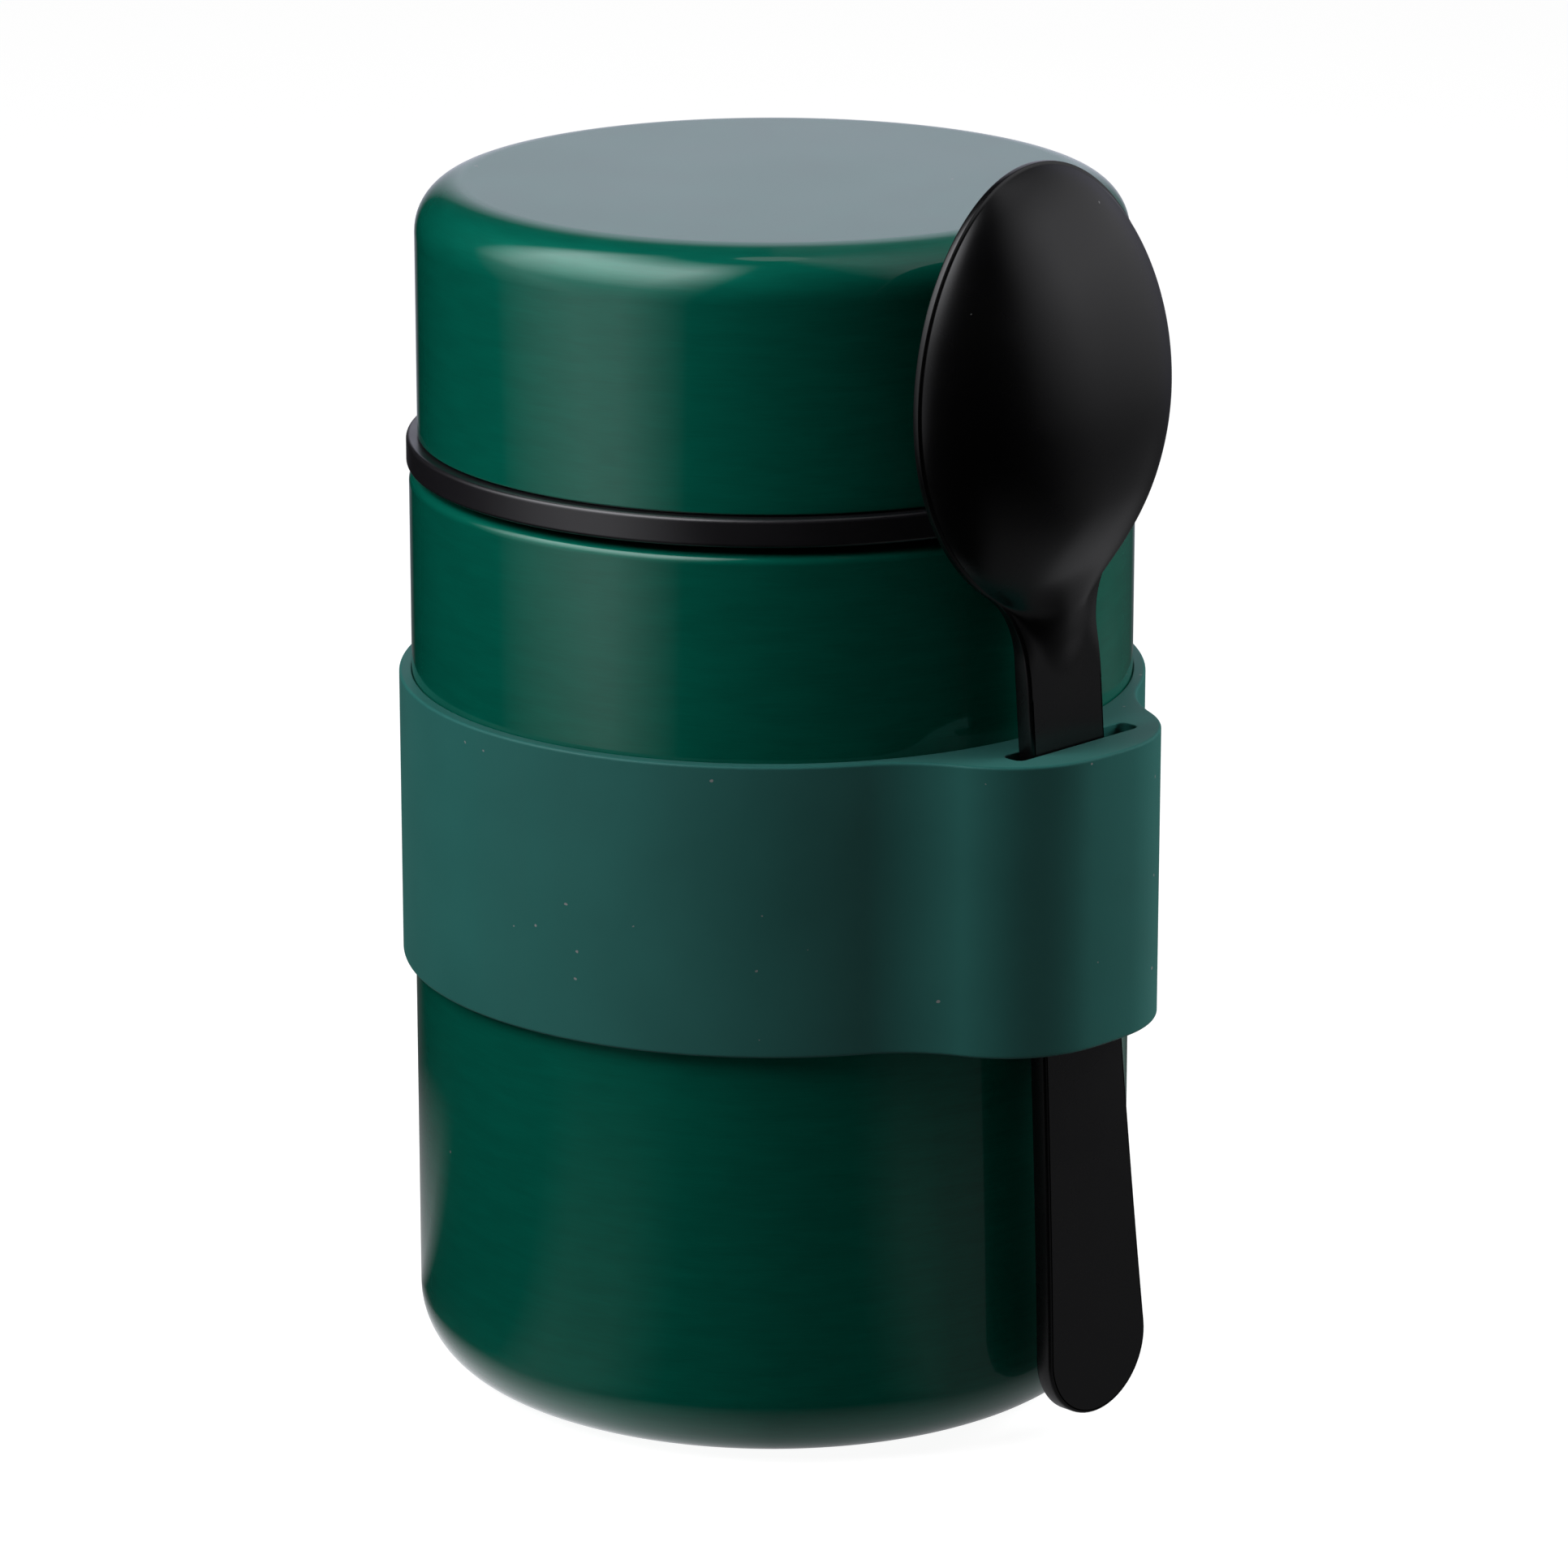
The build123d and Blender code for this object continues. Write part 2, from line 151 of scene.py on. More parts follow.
class SpoonSizes(bpy.types.PropertyGroup):
    """Spoon in one moulding."""

    back: length("Spoon back", "Distance of the spoon's back from the axis", 0.0493)
    shift: length("Spoon shift", "Sideways place of the spoon at the band's top", 0.0016)
    tilt: angle_of("Spoon tilt", "Sideways lean of the spoon", np.radians(4.8))
    bowl_half: length("Bowl half width", "Half the bowl's width", 0.0214)
    pinch: share("Bowl pinch", "How far the bowl's outline stays inside an ellipse", 0.0125)
    bowl_centre: length("Bowl centre", "Widest line above the band's top", 0.0435)
    nose: length("Bowl nose", "Widest line to the tip", 0.0283)
    heel: length("Bowl heel", "Widest line to the heel", 0.0260)
    depth: length("Bowl depth", "Rise of the bowl above its rim", 0.0096)
    wall: length("Bowl wall", "Thickness of the bowl", 0.0013)
    rim: length("Rim gauge", "Thickness of the bowl's rim", 0.001)
    handle: length("Handle gauge", "Thickness of the handle", 0.0025)
    half: length("Handle half width", "Half the handle's width at the band", 0.0064)
    end: length("Handle end radius", "Radius of the handle's round end", 0.0087)
    reach: length("Handle length", "Band's top down to the centre of the round end", 0.0788)
    waist: length("Handle waist", "How far the handle's sides curve in", 0.0005)
    neck: length("Neck blend", "Radius between bowl and handle", 0.011)


class JarColours(bpy.types.PropertyGroup):
    """Colours, linear."""

    lacquer: tint("Lacquer", "Green lacquer on the steel", (0.0, 0.108, 0.072))
    band: tint("Band", "Green silicone", (0.010, 0.092, 0.081))
    spoon: tint("Spoon", "Black moulding", (0.0013, 0.0013, 0.0015))
    ring: tint("Ring", "Black screw cap", (0.0055, 0.0050, 0.0064))
    steel: tint("Steel", "Bare steel", (0.60, 0.59, 0.57))
    seal: tint("Seal", "Clear grey silicone", (0.36, 0.37, 0.37))
    copper: tint("Copper", "Foil round the vessel", (0.72, 0.34, 0.20))
    foam: tint("Foam", "Insulating foam", (0.62, 0.58, 0.48))
    glass: tint("Solder glass", "Bead that plugs the vent", (0.12, 0.13, 0.12))
    alloy: tint("Getter", "Pressed metal powder", (0.20, 0.19, 0.18))
    dust: tint("Dust", "Dust and lint", (0.20, 0.21, 0.21))
    brushing: share("Brushing", "Strength of the brushed lines", 0.5)


GROUPS = {
    "food_jar_body": JarSizes,
    "food_jar_lid": LidSizes,
    "food_jar_band": BandSizes,
    "food_jar_spoon": SpoonSizes,
    "food_jar_colours": JarColours,
}


# ---- surfaces
# Grids: turn between two points of an arc, how far from an arc the point that holds its
# edge lies, distance under which points are merged, and columns round an outer wall, an
# inner wall and a small turned piece.
ARC_TURN = np.radians(6)
HOLD = 0.0001
MERGE = 2e-7
OUTER_COLUMNS = 256
INNER_COLUMNS = 224
SMALL_COLUMNS = 192


def ease(value, low, high):
    """Smooth step: with q the share of the way from low to high, 3 q^2 - 2 q^3."""
    q = np.clip((value - low) / (high - low), 0, 1)
    return q * q * (3 - 2 * q)


def blend_up(first, second, reach):
    """Greater of two heights, raised by reach h^2 / 4 where they differ by less than reach."""
    near = np.clip(1 - np.abs(first - second) / reach, 0, 1)
    return np.maximum(first, second) + near * near * reach / 4


def between(first, second, part):
    """Value that lies a part of the way from first to second."""
    return first + (second - first) * part


def outline(*corners, step=0.002):
    """Straight runs joined by arcs that touch both runs; a corner is (radius, height, arc).

    The arc's centre lies on the corner's bisector, arc / sin(half angle) away.
    Runs get points a step apart, and one close to each end that holds the arc's edge.
    The outline closes on itself, unless it starts on the axis.
    """
    table = np.array(corners, float)
    places, arcs = table[:, :2], table[:, 2]
    count = len(places)
    closed = places[0, 0] > 0
    parts = []
    for i, here in enumerate(places):
        if arcs[i] == 0 or (not closed and i in (0, count - 1)):
            parts.append(here[None])
            continue
        before = places[i - 1] - here
        after = places[(i + 1) % count] - here
        before = before / np.hypot(*before)
        after = after / np.hypot(*after)
        half = np.arccos(np.clip(before @ after, -1, 1)) / 2
        middle = (before + after) / np.hypot(*(before + after))
        centre = here + middle * arcs[i] / np.sin(half)
        start = here + before * arcs[i] / np.tan(half) - centre
        finish = here + after * arcs[i] / np.tan(half) - centre
        across = finish - start * (finish @ start) / (start @ start)
        across = across * np.hypot(*start) / np.hypot(*across)
        sweep = np.pi - 2 * half
        angle = np.linspace(0, sweep, max(4, round(sweep / ARC_TURN) + 1))
        parts.append(centre + np.outer(np.cos(angle), start) + np.outer(np.sin(angle), across))
    runs = []
    for part, following in zip(parts, parts[1:] + parts[:1] if closed else parts[1:]):
        start, finish = part[-1], following[0]
        size = np.hypot(*(finish - start))
        hold = min(HOLD, size / 4)
        inner = np.linspace(hold, size - hold, max(2, round(size / step) + 1))
        runs.append(part)
        runs.append(start + np.outer(inner / max(size, 1e-9), finish - start))
    if not closed:
        runs.append(parts[-1])
    return np.concatenate(runs)


def pressed_cup(radius, base, edge, gauge, outer, inner, cut):
    """Outline of a cup of sheet metal: out along its base, round to its edge, and back."""
    inside = base + np.sign(edge - base) * gauge
    return outline(
        (0, base, 0),
        (radius, base, outer),
        (radius, edge, cut),
        (radius - gauge, edge, cut),
        (radius - gauge, inside, inner),
        (0, inside, 0),
    )


def grid_mesh(name, points, wrap_rows=False):
    """Quads over rows and columns of points. Columns close on themselves, and rows if asked."""
    rows, columns = points.shape[:2]
    number = np.arange(rows * columns).reshape(rows, columns)
    if wrap_rows:
        number = np.concatenate([number, number[:1]])
    number = np.concatenate([number, number[:, :1]], axis=1)
    faces = np.stack([number[:-1, :-1], number[:-1, 1:], number[1:, 1:], number[1:, :-1]], -1)
    mesh = bpy.data.meshes.new(name)
    mesh.from_pydata(points.reshape(-1, 3).tolist(), [], faces.reshape(-1, 4).tolist())
    return mesh


def linked(name, data):
    """New object in the scene for a mesh, lamp or camera."""
    made = bpy.data.objects.new(name, data)
    bpy.context.scene.collection.objects.link(made)
    return made


def finished(name, mesh):
    """Object from a mesh: seams and poles merged, normals outwards, shaded smooth."""
    work = bmesh.new()
    work.from_mesh(mesh)
    bmesh.ops.remove_doubles(work, verts=work.verts, dist=MERGE)
    bmesh.ops.recalc_face_normals(work, faces=work.faces)
    work.to_mesh(mesh)
    work.free()
    mesh.polygons.foreach_set("use_smooth", np.ones(len(mesh.polygons), bool))
    mesh.update()
    return linked(name, mesh)


def turned(name, line, columns=SMALL_COLUMNS, relief=None, closed=True):
    """Line of (radius, height) carried round the axis: (r cos a, r sin a, z).

    relief, if given, is added to the radius as a function of angle, radius and height.
    """
    angle = np.arange(columns) * TAU / columns
    radius, height = np.repeat(np.transpose(line)[..., None], columns, axis=2)
    if relief:
        radius = radius + relief(angle[None], radius, height)
    points = np.stack([radius * np.cos(angle), radius * np.sin(angle), height], -1)
    return finished(name, grid_mesh(name, points, wrap_rows=closed))


def helix_ridge(angle, height, start, pitch, turns, stand, width):
    """Rounded thread: stand exp(-(distance / width)^4) from the line z = start + pitch a / 2 pi.

    Its ends fade over a tenth of a turn.
    """
    run_out = 0.1
    ridge = np.zeros(np.broadcast_shapes(angle.shape, height.shape))
    for lap in range(int(np.ceil(turns)) + 1):
        travel = angle / TAU + lap
        fade = ease(travel, 0, run_out) * (1 - ease(travel, turns - run_out, turns))
        distance = (height - start - pitch * travel) / width
        ridge = np.maximum(ridge, stand * fade * np.exp(-(distance**4)))
    return ridge


def arc(centre, radius, start, finish, count, inwards=False):
    """Points and outward normals on an arc; inwards turns the normals to its centre."""
    angle = np.linspace(start, finish, count)
    way = np.stack([np.cos(angle), np.sin(angle)], -1)
    return np.array(centre) + radius * way, -way if inwards else way


def joined(runs):
    """Points and normals of several runs, one run after the other."""
    return [np.concatenate(parts) for parts in zip(*runs)]


def rounded_wall(points, normals, low, high, edge):
    """Rings of a closed wall from low to high, its two edges rounded by quarter circles.

    A ring at depth d is the outline moved by -d along its normals. The first and last
    rings lie a little further in, on the flat faces.
    """
    levels = 12
    angle = np.linspace(0, np.pi / 2, 7)
    run, rise = edge * (1 - np.sin(angle)), edge * (1 - np.cos(angle))
    inset = [edge * 1.6]
    flats = np.linspace(low + edge * 1.2, high - edge * 1.2, levels)
    depth = np.concatenate([inset, run, np.zeros(levels), rise, inset])
    height = np.concatenate([[low], low + rise, flats, high - run, [high]])
    flat = points[None] - depth[:, None, None] * normals[None]
    level = np.repeat(height[:, None, None], len(points), axis=1)
    return np.concatenate([flat, level], -1)


def walls_with_caps(name, walls):
    """Solid between an outer wall and the walls of its holes, with flat faces at both ends."""
    work = bmesh.new()
    for rings in walls:
        part = grid_mesh(name, rings)
        work.from_mesh(part)
        bpy.data.meshes.remove(part)
    open_edges = [edge for edge in work.edges if edge.is_boundary]
    middle = np.mean([edge.verts[0].co.z for edge in open_edges])
    for above in (False, True):
        rim = [edge for edge in open_edges if (edge.verts[0].co.z > middle) == above]
        bmesh.ops.triangle_fill(work, edges=rim, use_beauty=True)
    mesh = bpy.data.meshes.new(name)
    work.to_mesh(mesh)
    work.free()
    return finished(name, mesh)


def band_outline(p):
    """Outline of the band: its circle, the pocket's front arc, and the arcs that join them.

    A corner arc of radius c touches the front arc from inside, and a blend arc of radius b
    touches the band's circle from outside. With f = pocket - c and g = band + b, the law of
    cosines gives the turn between their centres: cos = (f^2 + g^2 - (b + c)^2) / (2 f g).
    """
    corner_reach = p.pocket - p.corner
    blend_reach = p.radius + p.blend
    square = corner_reach**2 + blend_reach**2 - (p.corner + p.blend) ** 2
    root = p.front + np.arccos(square / (2 * corner_reach * blend_reach)) - np.pi / 2
    front = p.front - np.pi / 2
    corner_centre = corner_reach * np.array([np.cos(front), np.sin(front)])
    blend_centre = blend_reach * np.array([np.cos(root), np.sin(root)])
    side = np.arctan2(*(blend_centre - corner_centre)[::-1])
    runs = [
        arc((0, 0), p.radius, np.pi / 2, root, 90),
        arc(blend_centre, p.blend, root + np.pi, side + np.pi, 24, inwards=True),
        arc(corner_centre, p.corner, side, front, 36),
        arc((0, 0), p.pocket, front, -np.pi / 2, 8),
    ]
    half, way = joined(runs)
    mirror = np.array([-1, 1])
    apart = 1e-6
    points = np.concatenate([half, half[-2:0:-1] * mirror])
    normals = np.concatenate([way, way[-2:0:-1] * mirror])
    keep = np.hypot(*(points - np.roll(points, 1, axis=0)).T) > apart
    return points[keep], normals[keep]


# ---- spoon
# Places along the spoon are metres up from the band's top.
NECK_RUN = (0.008, 0.022)  # the handle's gauge gives way to the rim's
NECK_LAG = (0.008, 0.006)  # how much later it does so on the centre line
SADDLE_RUN = (0.020, 0.036)  # the wide blend of plate and bowl fades out
SADDLE = 0.0040  # size of that blend on the centre line
SEAM = 0.0001  # and on the outline
BELLY_RUN = (0.012, 0.024)  # below the widest line: the belly begins to flow down
BELLY_END = (0.004, 0.014)  # it runs out in the handle
BELLY_HALF = 0.009  # half the width of that flow
BELLY_REACH = 0.006  # how far below the heel the flow aims
SPINE_PULL = 0.57  # how far rings in the bowl draw towards its middle
HANDLE_EDGE, RIM_EDGE, BACK_EDGE = 0.0005, 0.00012, 0.0003  # roundings of the edges
HOLLOW_BLEND, RIM_LEVEL = 0.0004, 0.00012  # on the back: blend of the hollow, height it ends in
RING_DEPTHS = np.array([2.6, 2.0, 1.55, 1.2, 0.95, 0.75, 0.6, 0.48, 0.4, 0.35]) * 0.001


def square_to(run):
    """Unit normals on the left of a run of steps."""
    way = np.stack([-run[:, 1], run[:, 0]], -1)
    return way / np.hypot(*way.T)[:, None]


def bowl_quarter(p, angle, reach):
    """Quarter of the bowl's outline: an ellipse divided by 1 + pinch sin(2 a)^2."""
    oval = np.stack([p.bowl_half * np.cos(angle), reach * np.sin(angle)], -1)
    return oval / (1 + p.pinch * np.sin(2 * angle) ** 2)[:, None] + np.array([0, p.bowl_centre])


def spoon_half_outline(p, count=260):
    """Right half of the spoon's outline from the tip to the end, evenly spaced.

    Two pinched quarter ellipses make the bowl. The neck's arc touches the lower one and
    the handle's side, which curves in as a parabola down to the round end.
    """
    tip = bowl_quarter(p, np.linspace(np.pi / 2, 0, 90), p.nose)
    angle = np.linspace(0, np.pi / 2, 4000)
    lower = bowl_quarter(p, angle, -p.heel)
    shifted = lower + square_to(np.gradient(lower, axis=0)) * p.neck
    meet = np.argmin(np.abs(shifted[:, 0] - p.half - p.neck) + (angle < 0.3))
    centre = shifted[meet]
    start = np.arctan2(*(lower[meet] - centre)[::-1])
    start = start if start > 0 else start + TAU
    neck = arc(centre, p.neck, start, np.pi, 60)[0]
    along = np.linspace(0, 1, 120)[:, None]
    side = np.array([p.half, 0]) + along * np.array([p.end - p.half, -p.reach])
    side = side - np.array([4 * p.waist, 0]) * along * (1 - along)
    end = arc((0, -p.reach), p.end, 0, -np.pi / 2, 60)[0]
    line = np.concatenate([tip, lower[:meet:40], neck, side, end])
    travel = np.concatenate([[0], np.cumsum(np.hypot(*np.diff(line, axis=0).T))])
    even = np.linspace(0, travel[-1], count)
    return np.stack([np.interp(even, travel, line[:, i]) for i in (0, 1)], -1)


def spoon_bowl(p, across, along, shrink):
    """Height of a half of a stretched ball; beyond its edge it falls on as a cone.

    The distance q from its middle is hypot(x, y) (1 + pinch (2 x y / (x^2 + y^2))^2).
    The ball is a quarter taller than the bowl and sunk by that quarter. shrink makes the
    hollow, which is smaller by the wall.
    """
    sink = p.depth / 4
    reach = p.depth + sink
    widen = 1 / np.sqrt(1 - (sink / reach) ** 2)
    inset = 0.0003
    far = np.where(along > p.bowl_centre, p.nose, p.heel) - inset
    x = across / ((p.bowl_half - inset) * widen - shrink)
    y = (along - p.bowl_centre) / (far * widen - shrink)
    square = np.maximum(x * x + y * y, 1e-12)
    q = np.sqrt(square) * (1 + p.pinch * (2 * x * y / square) ** 2)
    ball = (reach - shrink) * np.sqrt(np.clip(1 - q * q, 0, None))
    return p.rim - sink + ball - np.clip(q - 1, 0, None) * reach


def spoon_front(p, across, along, half_width):
    """Height of the front: the bowl's dome and the handle's flat plate, blended upwards.

    Towards the neck the dome gives way along its middle to rim + depth (1 - off)^1.5,
    where off is the squared share of the way from the widest line to below the heel.
    """
    centre = 1 - np.clip(across / np.maximum(half_width, 1e-4), -1, 1) ** 2
    run = [start + lag * centre for start, lag in zip(NECK_RUN, NECK_LAG)]
    plate = between(p.handle, p.rim, ease(along, *run))
    below = p.bowl_centre - along
    off = (below / (p.heel + BELLY_REACH)) ** 2 + (across / p.bowl_half) ** 2
    belly = p.rim + p.depth * np.clip(1 - off, 0, None) ** 1.5
    flow = ease(below, *BELLY_RUN) * ease(along, *BELLY_END) * np.exp(-((across / BELLY_HALF) ** 2))
    dome = between(spoon_bowl(p, across, along, 0), belly, flow)
    return blend_up(dome, plate, SEAM + SADDLE * centre * (1 - ease(along, *SADDLE_RUN)))


def spoon_back(p, across, along):
    """Height of the back: the hollow of the bowl, flat elsewhere, level again at the rim."""
    hollow = spoon_bowl(p, across, along, p.wall)
    height = blend_up(hollow, np.zeros(hollow.shape), HOLLOW_BLEND)
    return height * ease(height, 0, RIM_LEVEL)


def raised(flat, height):
    """Points from flat places and their heights."""
    return np.concatenate([flat, height[..., None]], -1)


def spoon_edge(p, line, way):
    """Rings round the edge: a quarter circle over the front edge and one under the back."""
    quarter = np.linspace(0, np.pi / 2, 6)[:, None]
    run, drop = 1 - np.sin(quarter), 1 - np.cos(quarter)
    in_bowl = ease(line[:, 1], *NECK_RUN)[None]
    edge = between(HANDLE_EDGE, RIM_EDGE, in_bowl)
    depth = np.concatenate([edge * run, np.repeat(BACK_EDGE * drop, len(line), axis=1)])
    over = between(p.handle, p.rim, in_bowl) - edge * drop
    height = np.concatenate([over, np.repeat(BACK_EDGE * run, len(line), axis=1)])
    return raised(line[None] - way[None] * depth[..., None], height)


def spoon_points(p):
    """Grid over the whole spoon: columns follow the outline, rings run from front to back.

    Rings start at the centre line on the front, go out over the rounded edge and come
    back to the centre line on the hollow side. Heights are functions of the place in
    the spoon's own plane, so that bowl, neck and handle are one smooth surface.
    """
    right = spoon_half_outline(p)
    line = np.concatenate([right, right[-2:0:-1] * np.array([-1, 1])])
    way = square_to(np.roll(line, -1, axis=0) - np.roll(line, 1, axis=0))
    up = line[:, 1]
    spine = np.clip(up - np.clip(up - p.bowl_centre, 0, None) * SPINE_PULL, -p.reach, None)
    spine = np.stack([np.zeros(len(line)), spine], -1)
    deepest = line - way * RING_DEPTHS[0]
    inner = deepest[None] + np.linspace(1, 0, 18)[:-1, None, None] * (spine - deepest)[None]
    flat = np.concatenate([inner, line[None] - way[None] * RING_DEPTHS[:, None, None]])
    across, along = flat[..., 0], flat[..., 1]
    half_width = np.interp(along, right[::-1, 1], right[::-1, 0])
    front = raised(flat, spoon_front(p, across, along, half_width))
    back = raised(flat, spoon_back(p, across, along))[::-1]
    grid = np.concatenate([front, spoon_edge(p, line, way), back])
    across_way = np.array([np.cos(p.tilt), 0, np.sin(p.tilt)])
    along_way = np.array([-np.sin(p.tilt), 0, np.cos(p.tilt)])
    out_way = np.array([0, -1, 0])
    origin = np.array([-p.shift, -p.back, bpy.context.scene.food_jar_band.top])
    return origin + grid @ np.stack([across_way, along_way, out_way])


# ---- material nodes
def put(where, kind, inputs=(), **settings):
    """Adds a node to a tree or to a socket's tree.

    inputs maps socket names or numbers to values or to other sockets.
    """
    tree = where.id_data
    node = tree.nodes.new(kind)
    for key, value in settings.items():
        setattr(node, key, value)
    for key, value in dict(inputs).items():
        if isinstance(value, bpy.types.NodeSocket):
            tree.links.new(value, node.inputs[key])
        else:
            node.inputs[key].default_value = value
    return node


def calculated(operation, *values):
    """Result of one math step on a socket and further sockets or numbers."""
    step = put(values[0], "ShaderNodeMath", dict(enumerate(values)), operation=operation)
    return step.outputs[0]


def times(result, *factors):
    """Product of a socket and further sockets or numbers."""
    for factor in factors:
        result = calculated("MULTIPLY", result, factor)
    return result


def moved(operation, *values):
    """Result of one vector step on a socket and further sockets or triples."""
    step = put(values[0], "ShaderNodeVectorMath", dict(enumerate(values)), operation=operation)
    return step.outputs[0]


def spread(value, low, high, start=0.0, finish=1.0):
    """Maps low..high to start..finish, clamped."""
    ends = {"From Min": low, "From Max": high, "To Min": start, "To Max": finish}
    return put(value, "ShaderNodeMapRange", {"Value": value, **ends}).outputs["Result"]


def object_place(tree):
    """Place on the piece, in its own metres."""
    return put(tree, "ShaderNodeTexCoord").outputs["Object"]


def noise(place, scale, detail, roughness=0.5):
    """Noise pattern over a place."""
    values = {"Vector": place, "Scale": scale, "Detail": detail, "Roughness": roughness}
    return put(place, "ShaderNodeTexNoise", values).outputs


def new_group(name, inputs, *outputs):
    """Node group whose sockets are numbers; returns its tree, its inputs and its outputs."""
    tree = bpy.data.node_groups.new(name, "ShaderNodeTree")
    kind = "NodeSocketFloat"
    for label, value in inputs.items():
        socket = tree.interface.new_socket(name=label, in_out="INPUT", socket_type=kind)
        socket.default_value = value
    for label in outputs:
        tree.interface.new_socket(name=label, in_out="OUTPUT", socket_type=kind)
    given = tree.nodes.new("NodeGroupInput").outputs
    return tree, given, tree.nodes.new("NodeGroupOutput").inputs


def brushed_group():
    """Fine lines that run round the jar: noise drawn out along X and Y, in metres."""
    tree, given, out = new_group(
        "brushed_lines", {"Fineness": 9000.0, "Run": 45.0}, "Lines", "Streaks"
    )
    scales = {"X": given["Run"], "Y": given["Run"], "Z": given["Fineness"]}
    scale = put(tree, "ShaderNodeCombineXYZ", scales).outputs[0]
    drawn = moved("MULTIPLY", object_place(tree), scale)
    wide = moved("MULTIPLY", drawn, (0.5, 0.5, 0.12))
    fine = noise(drawn, 1.0, 3.0, 0.65)
    streak = noise(wide, 1.0, 2.0)
    tree.links.new(spread(fine["Fac"], 0.3, 0.7), out["Lines"])
    tree.links.new(spread(streak["Fac"], 0.35, 0.65), out["Streaks"])
    return tree


def speck_group():
    """Sparse specks of dust: cells of a Voronoi pattern, most of them left empty."""
    tree, given, out = new_group(
        "dust_specks", {"Cells": 300.0, "Size": 0.05, "Share": 0.25}, "Mask"
    )
    place = object_place(tree)
    bend = noise(place, 900.0, 1.0)
    nudged = moved("MULTIPLY_ADD", bend["Color"], (0.0006, 0.0006, 0.0006), place)
    cells = put(tree, "ShaderNodeTexVoronoi", {"Vector": nudged, "Scale": given["Cells"]})
    chance = put(tree, "ShaderNodeSeparateColor", {0: cells.outputs["Color"]})
    near = calculated("LESS_THAN", cells.outputs["Distance"], given["Size"])
    chosen = calculated("LESS_THAN", chance.outputs[0], given["Share"])
    tree.links.new(times(near, chosen), out["Mask"])
    return tree


def grain_group():
    """Fine grain of a moulded or blasted surface, and slow smudges over it."""
    tree, given, out = new_group(
        "moulded_grain", {"Grain": 4500.0, "Smudge": 45.0}, "Height", "Smudges"
    )
    place = object_place(tree)
    grain = noise(place, given["Grain"], 2.0, 0.6)
    slow = noise(place, given["Smudge"], 3.0, 0.55)
    tree.links.new(spread(grain["Fac"], 0.25, 0.75), out["Height"])
    tree.links.new(spread(slow["Fac"], 0.3, 0.7), out["Smudges"])
    return tree


MAKERS = {"brushed_lines": brushed_group, "dust_specks": speck_group, "moulded_grain": grain_group}


def effect(where, name, **inputs):
    """Places a shared node group with the material's own values; returns its outputs."""
    made = bpy.data.node_groups.get(name) or MAKERS[name]()
    return put(where, "ShaderNodeGroup", inputs, node_tree=made).outputs


def cleared(owner):
    """Empty node tree of a material or a world."""
    owner.use_nodes = True
    owner.node_tree.nodes.clear()
    return owner.node_tree


def new_material(name):
    """Empty node material; returns it with its tree."""
    made = bpy.data.materials.new(name)
    return made, cleared(made)


def show(shader, kind="Material"):
    """Joins a shader to the output of its material or world."""
    put(shader, "ShaderNodeOutput" + kind, {"Surface": shader.outputs[0]})


def principled(tree, values):
    """Shows a Principled shader with these values."""
    show(put(tree, "ShaderNodeBsdfPrincipled", values))


def mixed(amount, first, second):
    """Colour between first and second by amount."""
    node = put(amount, "ShaderNodeMix", {0: amount, 6: first, 7: second}, data_type="RGBA")
    return node.outputs[2]


def shade(colour, factor):
    """Colour times a factor, as four numbers."""
    return tuple(min(1.0, c * factor) for c in colour) + (1.0,)


def bumped(height, distance, strength):
    """Normal from a height between 0 and 1 that stands for distance, in metres."""
    values = {"Height": height, "Distance": distance, "Strength": strength}
    return put(height, "ShaderNodeBump", values).outputs["Normal"]


def gloss(smudges, roughness, more):
    """Roughness that grows with the smudges."""
    return spread(smudges, 0, 1, roughness, roughness + more)


def dusted(base, part, **specks):
    """Colour with specks over it that have a part of the dust's brightness."""
    dust = bpy.context.scene.food_jar_colours.dust
    return mixed(effect(base, "dust_specks", **specks)["Mask"], base, shade(dust, part))


# ---- finishes
def lacquer(tree, colour):
    """Green lacquer over brushed steel: faint lines round the jar under a clear coat."""
    lines = effect(tree, "brushed_lines", Fineness=5500.0, Run=240.0)
    grain = effect(tree, "moulded_grain", Grain=5000.0, Smudge=28.0)
    brushing = bpy.context.scene.food_jar_colours.brushing
    streaks = spread(lines["Streaks"], 0, 1, 0, 0.45)
    tone = calculated("MULTIPLY_ADD", lines["Lines"], 0.55, streaks)
    base = mixed(tone, shade(colour, 0.90), shade(colour, 1.12))
    values = {
        "Base Color": dusted(base, 1.0, Cells=140.0, Size=0.028, Share=0.16),
        "Metallic": 0.4,
        "Roughness": gloss(grain["Smudges"], 0.42, 0.08),
        "Specular IOR Level": 0.05,
        "Coat Weight": 1.0,
        "Coat Roughness": 0.07,
        "Coat IOR": 1.5,
        "Normal": bumped(lines["Lines"], 0.000004, 0.6 + brushing * 0.4),
    }
    principled(tree, values)


def silicone(tree, colour, roughness, lint):
    """Matte silicone rubber: soft sheen, fine grain and a little lint."""
    grain = effect(tree, "moulded_grain", Grain=5200.0, Smudge=60.0)
    base = mixed(grain["Smudges"], shade(colour, 0.95), shade(colour, 1.07))
    values = {
        "Base Color": dusted(base, 0.9, Cells=260.0, Size=0.05, Share=lint),
        "Roughness": gloss(grain["Smudges"], roughness, 0.06),
        "Specular IOR Level": 0.36,
        "Sheen Weight": 0.03,
        "Sheen Roughness": 0.5,
        "Normal": bumped(grain["Height"], 0.00001, 0.5),
    }
    principled(tree, values)


